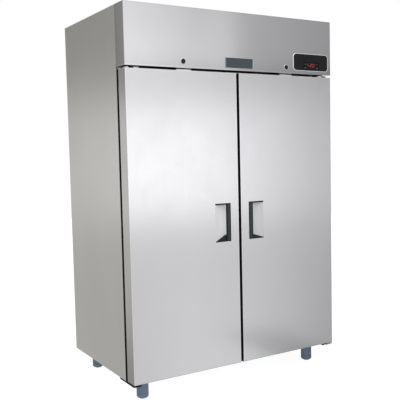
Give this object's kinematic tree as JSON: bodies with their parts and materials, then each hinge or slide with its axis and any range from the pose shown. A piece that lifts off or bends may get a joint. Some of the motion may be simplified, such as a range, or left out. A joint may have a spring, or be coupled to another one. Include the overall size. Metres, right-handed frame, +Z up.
{
  "type": "reach-in freezer",
  "caption": "Upright stainless reach-in freezer with paired hinged doors, recessed pulls, tilting control header, door locks, wire shelves, top-mounted cooling unit and levelling feet",
  "frame": {"origin": "centre of the footprint at floor level, under the levelling feet", "axes": "+X to the right seen from the front, -Y out of the doors, +Z up"},
  "size_m": [1.37, 0.838, 2.09],
  "materials": {
    "door_steel": "brushed stainless, fine vertical grain",
    "casing_steel": "satin stainless sheet",
    "galvanised": "galvanised sheet",
    "foam": "rigid polyurethane foam, not seen",
    "liner_metal": "satin aluminium liner",
    "black_profile": "black plastic thermal break",
    "shelf_rail": "satin",
    "shelf_wire": "epoxy coated wire",
    "hinge_black": "black powder coat",
    "leg_plastic": "blue-grey moulded plastic",
    "foot_plastic": "blue-grey moulded plastic",
    "badge_slate": "dark slate plate, bare",
    "panel_black": "black overlay with a light rim",
    "controller_plastic": "black moulded plastic",
    "key_plastic": "grey moulded keys",
    "zinc_steel": "zinc plated",
    "lock_metal": "dark plated",
    "evaporator_aluminium": "mill finish sheet",
    "fin_aluminium": "fins on copper tube",
    "motor_paint": "satin black",
    "fan_plastic": "moulded",
    "condenser_fins": "black painted fin pack and shroud",
    "compressor_black": "black enamel",
    "copper": "drawn copper tube",
    "box_paint": "grey enclosure",
    "gland_plastic": "moulded",
    "door_liner_plastic": "formed liner",
    "gasket_rubber": "magnetic bellows gasket",
    "handle_plastic": "dark green-grey moulded pull",
    "bush_plastic": "acetal"
  },
  "bodies": {
    "cabinet": {"side_panel_left": "casing_steel", "side_panel_right": "casing_steel", "rear_panel": "galvanised", "bottom_panel": "galvanised", "machine_deck": "galvanised", "top_cover": "galvanised", "rear_grille": "galvanised", "machine_frame": "galvanised", "cabinet_insulation": "foam", "inner_liner": "liner_metal", "front_frame": "black_profile", "center_mullion": "black_profile", "shelf_pilasters": "shelf_rail", "shelf_clips": "shelf_rail", "shelves": "shelf_wire", "hinge_brackets": "hinge_black", "leg_tubes": "leg_plastic", "header_hinge_brackets": "zinc_steel", "evaporator_housing": "evaporator_aluminium", "evaporator_coil": "fin_aluminium", "fan_motors": "motor_paint", "condenser_coil": "condenser_fins", "compressor": "compressor_black", "refrigerant_lines": "copper", "electrical_box": "box_paint", "cable_gland": "gland_plastic", "cabinet_screws": "zinc_steel"},
    "door_left": {"door_panel_left": "door_steel", "door_core_left": "foam", "door_liner_left": "door_liner_plastic", "door_gasket_left": "gasket_rubber", "handle_grip_left": "handle_plastic", "hinge_bushes_left": "bush_plastic", "lock_strike_left": "zinc_steel"},
    "door_right": {"door_panel_right": "door_steel", "door_core_right": "foam", "door_liner_right": "door_liner_plastic", "door_gasket_right": "gasket_rubber", "handle_grip_right": "handle_plastic", "hinge_bushes_right": "bush_plastic", "lock_strike_right": "zinc_steel"},
    "header": {"header_panel": "door_steel", "name_plate": "badge_slate", "control_panel": "panel_black", "temperature_controller": "controller_plastic", "header_hinge_leaves": "zinc_steel", "lock_housings": "lock_metal"},
    "lock_left": {"lock_cylinder_left": "lock_metal"},
    "lock_right": {"lock_cylinder_right": "lock_metal"},
    "key_set": {"button_set": "key_plastic"},
    "key_defrost": {"button_defrost": "key_plastic"},
    "key_up": {"button_up": "key_plastic"},
    "key_down": {"button_down": "key_plastic"},
    "condenser_fan": {"condenser_fan": "fan_plastic"},
    "evaporator_fan_left": {"evaporator_fan_left": "fan_plastic"},
    "evaporator_fan_right": {"evaporator_fan_right": "fan_plastic"},
    "foot_front_left": {"foot_front_left": "foot_plastic"},
    "foot_front_right": {"foot_front_right": "foot_plastic"},
    "foot_rear_left": {"foot_rear_left": "foot_plastic"},
    "foot_rear_right": {"foot_rear_right": "foot_plastic"}
  },
  "joints": [
    {"name": "door_left_hinge", "type": "hinge", "parent": "cabinet", "child": "door_left", "pos_m": [-0.641, -0.376, 0.12], "axis": [0, 0, -1], "range_deg": [0, 120], "stiffness_Nm_per_rad": 3, "springref_deg": -8.59},
    {"name": "door_right_hinge", "type": "hinge", "parent": "cabinet", "child": "door_right", "pos_m": [0.641, -0.376, 0.12], "axis": [0, 0, 1], "range_deg": [0, 120], "stiffness_Nm_per_rad": 3, "springref_deg": -8.59},
    {"name": "header_hinge", "type": "hinge", "parent": "cabinet", "child": "header", "pos_m": [0, -0.322, 2.086], "axis": [-1, 0, 0], "range_deg": [0, 75]},
    {"name": "lock_left_turn", "type": "hinge", "parent": "header", "child": "lock_left", "pos_m": [-0.345, -0.4, 1.806], "axis": [0, 1, 0], "range_deg": [0, 90]},
    {"name": "lock_right_turn", "type": "hinge", "parent": "header", "child": "lock_right", "pos_m": [0.345, -0.4, 1.806], "axis": [0, -1, 0], "range_deg": [0, 90]},
    {"name": "key_set_press", "type": "slide", "parent": "header", "child": "key_set", "axis": [0, 1, 0], "range_m": [0, 0.001], "stiffness_N_per_m": 600},
    {"name": "key_defrost_press", "type": "slide", "parent": "header", "child": "key_defrost", "axis": [0, 1, 0], "range_m": [0, 0.001], "stiffness_N_per_m": 600},
    {"name": "key_up_press", "type": "slide", "parent": "header", "child": "key_up", "axis": [0, 1, 0], "range_m": [0, 0.001], "stiffness_N_per_m": 600},
    {"name": "key_down_press", "type": "slide", "parent": "header", "child": "key_down", "axis": [0, 1, 0], "range_m": [0, 0.001], "stiffness_N_per_m": 600},
    {"name": "condenser_fan_spin", "type": "hinge", "parent": "cabinet", "child": "condenser_fan", "pos_m": [0.23, -0.17, 1.93], "axis": [0, 1, 0], "continuous": true},
    {"name": "evaporator_fan_left_spin", "type": "hinge", "parent": "cabinet", "child": "evaporator_fan_left", "pos_m": [-0.26, 0.079, 1.63], "axis": [0, 1, 0], "continuous": true},
    {"name": "evaporator_fan_right_spin", "type": "hinge", "parent": "cabinet", "child": "evaporator_fan_right", "pos_m": [0.26, 0.079, 1.63], "axis": [0, 1, 0], "continuous": true},
    {"name": "foot_front_left_turn", "type": "hinge", "parent": "cabinet", "child": "foot_front_left", "pos_m": [-0.577, -0.29, 0], "axis": [0, 0, 1], "range_deg": [0, 1080]},
    {"name": "foot_front_right_turn", "type": "hinge", "parent": "cabinet", "child": "foot_front_right", "pos_m": [0.577, -0.29, 0], "axis": [0, 0, 1], "range_deg": [0, 1080]},
    {"name": "foot_rear_left_turn", "type": "hinge", "parent": "cabinet", "child": "foot_rear_left", "pos_m": [-0.577, 0.339, 0], "axis": [0, 0, 1], "range_deg": [0, 1080]},
    {"name": "foot_rear_right_turn", "type": "hinge", "parent": "cabinet", "child": "foot_rear_right", "pos_m": [0.577, 0.339, 0], "axis": [0, 0, 1], "range_deg": [0, 1080]}
  ]
}
